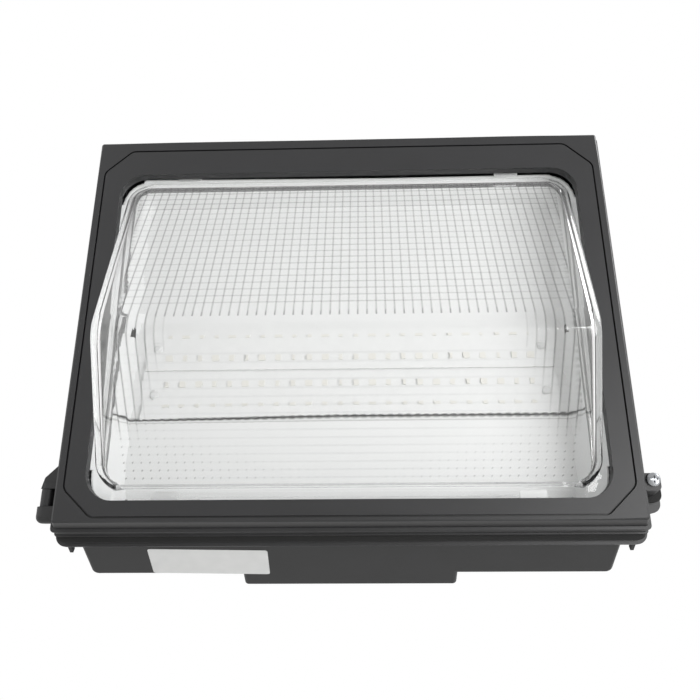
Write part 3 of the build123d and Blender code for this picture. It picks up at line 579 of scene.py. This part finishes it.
# Each vertex keeps how dark it is painted: painted reflection on the side walls here, painted
# shade in the grooves below
paintedShadeLayer = shell.verts.layers.float.new("groove")
for vertex in shell.verts:
    across, up, out = vertex.co
    inner = sideLimit(min(max(up, sideWalls["low"]), sideWalls["high"])) + sideWalls["gap"]
    outer = sideWalls["mouthHalf"] - sideWalls["lean"] * out - sideWalls["clearance"]
    if out > sideWalls["lip"] and inner < abs(across) < outer:
        rising = max(0, (up - sideWalls["riseFrom"]) / sideWalls["riseOver"])
        vertex[paintedShadeLayer] = sideWalls["grey"] + sideWalls["greyRise"] * rising
for face in shell.faces:
    if any(vertex[paintedShadeLayer] > 0 for vertex in face.verts):
        face.material_index = 1

# The opening is filled with a grid that has lines on and beside every groove
half = prisms["grooveHalf"]
columns = []
for count in range(-prisms["flutes"] - 1, prisms["flutes"] + 1):
    line = prisms["fluteFrom"] + count * prisms["flutePitch"]
    columns += [line - half, line, line + half]
    columns += [line + step for step in prisms["fluteSteps"]]
heights = [prisms["low"], prisms["lowEdge"], *prisms["ridgeHeights"]]
for step in range(prisms["ridgeSteps"] + 1):
    heights.append(roundLow + (roundHigh - roundLow) * step / prisms["ridgeSteps"])
for part in ("low", "high"):
    for count in range(prisms[part + "Rows"]):
        line = prisms[part + "From"] + count * prisms[part + "Pitch"]
        heights += [line - half, line, line + half, line + prisms[part + "Pitch"] / 2]
line = prisms["highLine"]
heights = sorted(height for height in heights if height < line - half - prisms["lineGap"])
heights += [line - half, line, line + half, prisms["high"] - half, prisms["high"]]
grid = []
for up in heights:
    out, normal = skinAt(up)
    limit = sideLimit(up)
    row = []
    for column in columns:
        across = max(-limit, min(limit, column))
        if row and abs(row[-1].co.x - across) < near["cut"]:
            row.append(row[-1])
            continue
        inside = min(1, (limit - abs(across)) / prisms["edgeFade"])
        inside *= min(1, (up - prisms["low"]) / prisms["edgeFade"])
        distance, pitch = rowAt(up)
        toFlute = nearest(across, prisms["fluteFrom"], prisms["flutePitch"])
        cell = rise(toFlute, prisms["flutePitch"])
        deep = prisms["crown"] * max(0, inside) * rise(distance, pitch) * cell
        vertex = shell.verts.new((across, up - normal.x * deep, out - normal.y * deep))
        # Painted shade in the grooves, kept on each grid point
        vertex[paintedShadeLayer] = grooveAt(across, up)
        row.append(vertex)
    grid.append(row)
for lower, upper in zip(grid, grid[1:]):
    for index in range(len(columns) - 1):
        corners = []
        for vertex in (lower[index], upper[index], upper[index + 1], lower[index + 1]):
            if vertex not in corners:
                corners.append(vertex)
        if len(corners) > 2:
            shell.faces.new(corners).material_index = 1
for vertex in shell.verts:
    vertex.co = fromDoor(*vertex.co)
for face in shell.faces:
    face.smooth = True
glassMesh = bpy.data.meshes.new("prismatic_lens")
shell.to_mesh(glassMesh)
shell.free()
glassMesh.set_sharp_from_angle(angle=math.radians(bowl["creaseDegrees"]))
glassMesh.materials.append(pressedGlass)
glassMesh.materials.append(prismGlass)
glassPiece = bpy.data.objects.new("prismatic_lens", glassMesh)
bpy.context.scene.collection.objects.link(glassPiece)
# Flat panels keep flat normals beside their rounds, so the glass bends no more than it should
flatShading = glassPiece.modifiers.new("flatPanels", "WEIGHTED_NORMAL")
flatShading.keep_sharp = True
# Light reaches the boards and the white tray straight through the glass
glassPiece.visible_shadow = False
glassPiece.visible_diffuse = False
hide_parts("lens")
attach(glassPiece, "door")
print("refractor done,", len(glassMesh.polygons), "faces,", len(gone), "cut out")

# A plain polyester film label under the housing, stuck on a little askew: white, satin
label = {
    "middle": (-88.3, -24.5), "under": -75.0, "turn": 1.5,
    "width": 74.8, "depth": 25.0, "thick": 0.14, "round": 1.6, "roundSteps": 5,
}
film = {
    "shades": ("babbbb", "c6c6c6"), "patchMm": 7, "detail": 3.0,
    "shader": {"Roughness": 0.38, "IOR": 1.5},
}
turn = Matrix.Rotation(math.radians(label["turn"]), 2)
outline = []
for quarter, (sideways, forward) in enumerate(((1, 1), (-1, 1), (-1, -1), (1, -1))):
    for step in range(label["roundSteps"] + 1):
        angle = math.radians(90 * (quarter + step / label["roundSteps"]))
        spot = Vector((
            sideways * (label["width"] / 2 - label["round"]) + label["round"] * math.cos(angle),
            forward * (label["depth"] / 2 - label["round"]) + label["round"] * math.sin(angle),
        ))
        outline.append(turn @ spot + Vector(label["middle"]))
stuckHeight = label["under"] * mm
shownHeight = (label["under"] - label["thick"]) * mm
sheet = bmesh.new()
stuck = [sheet.verts.new((x * mm, y * mm, stuckHeight)) for x, y in outline]
shown = [sheet.verts.new((x * mm, y * mm, shownHeight)) for x, y in outline]
sheet.faces.new(stuck)
sheet.faces.new(list(reversed(shown)))
for index in range(len(outline)):
    following = (index + 1) % len(outline)
    sheet.faces.new((stuck[index], shown[index], shown[following], stuck[following]))
bmesh.ops.recalc_face_normals(sheet, faces=sheet.faces)
labelMesh = bpy.data.meshes.new("blank_label")
sheet.to_mesh(labelMesh)
sheet.free()
labelMesh.materials.append(makeMottled("printed_polyester_film", film))
labelPiece = bpy.data.objects.new("blank_label", labelMesh)
bpy.context.scene.collection.objects.link(labelPiece)
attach(labelPiece, "housing")
print("label done")

# Soft boxes, aimed at the frame's origin
lamps = {
    "key": {"place": (1.7, -0.6, 1.0), "size": 1.2, "watts": 24.0},
    "fill": {"place": (-1.3, -1.1, 0.1), "size": 1.4, "watts": 4.0},
    "low": {"place": (0.86, -0.8, -0.72), "size": 0.9, "watts": 19.0},
}
for name, lamp in lamps.items():
    lampData = bpy.data.lights.new(name, "AREA")
    lampData.size = lamp["size"]
    lampData.energy = lamp["watts"]
    lampPiece = bpy.data.objects.new(name, lampData)
    lampPiece.location = lamp["place"]
    lampPiece.rotation_euler = (-Vector(lamp["place"])).to_track_quat("-Z", "Y").to_euler()
    bpy.context.scene.collection.objects.link(lampPiece)

# A white surround, at full strength only where it is seen, mirrored or looked at through glass
surround = {"lights": 0.72, "seen": 1.0}
world = bpy.data.worlds.new("studio")
bpy.context.scene.world = world
world.use_nodes = True
tree = world.node_tree
path = addNode(tree, "ShaderNodeLightPath")
plainlySeen = addNode(tree, "ShaderNodeMath", {"operation": "MAXIMUM"}, {
    0: path.outputs["Is Camera Ray"], 1: path.outputs["Is Glossy Ray"],
})
seen = addNode(tree, "ShaderNodeMath", {"operation": "MAXIMUM"}, {
    0: plainlySeen.outputs[0], 1: path.outputs["Is Transmission Ray"],
})
level = addNode(tree, "ShaderNodeMapRange", None, {
    "Value": seen.outputs[0], "To Min": surround["lights"], "To Max": surround["seen"],
})
background = tree.nodes["Background"]
background.inputs["Color"].default_value = (1, 1, 1, 1)
tree.links.new(level.outputs[0], background.inputs["Strength"])

# Pale floor, well below a light that hangs on a wall
floor = {"drop": 0.9, "half": 9.0, "colour": "eeeeec", "roughness": 0.9}
half = floor["half"]
floorMesh = bpy.data.meshes.new("floor")
floorMesh.from_pydata(
    [(-half, -half, 0), (half, -half, 0), (half, half, 0), (-half, half, 0)], [], [(0, 1, 2, 3)]
)
floorPiece = bpy.data.objects.new("floor", floorMesh)
floorPiece.location = (0, 0, -floor["drop"])
bpy.context.scene.collection.objects.link(floorPiece)
floorPaint, tree, shader = newMaterial("pale_floor")
setAll(shader, {"Base Color": linear(floor["colour"]), "Roughness": floor["roughness"]})
floorMesh.materials.append(floorPaint)
print("light and floor done")
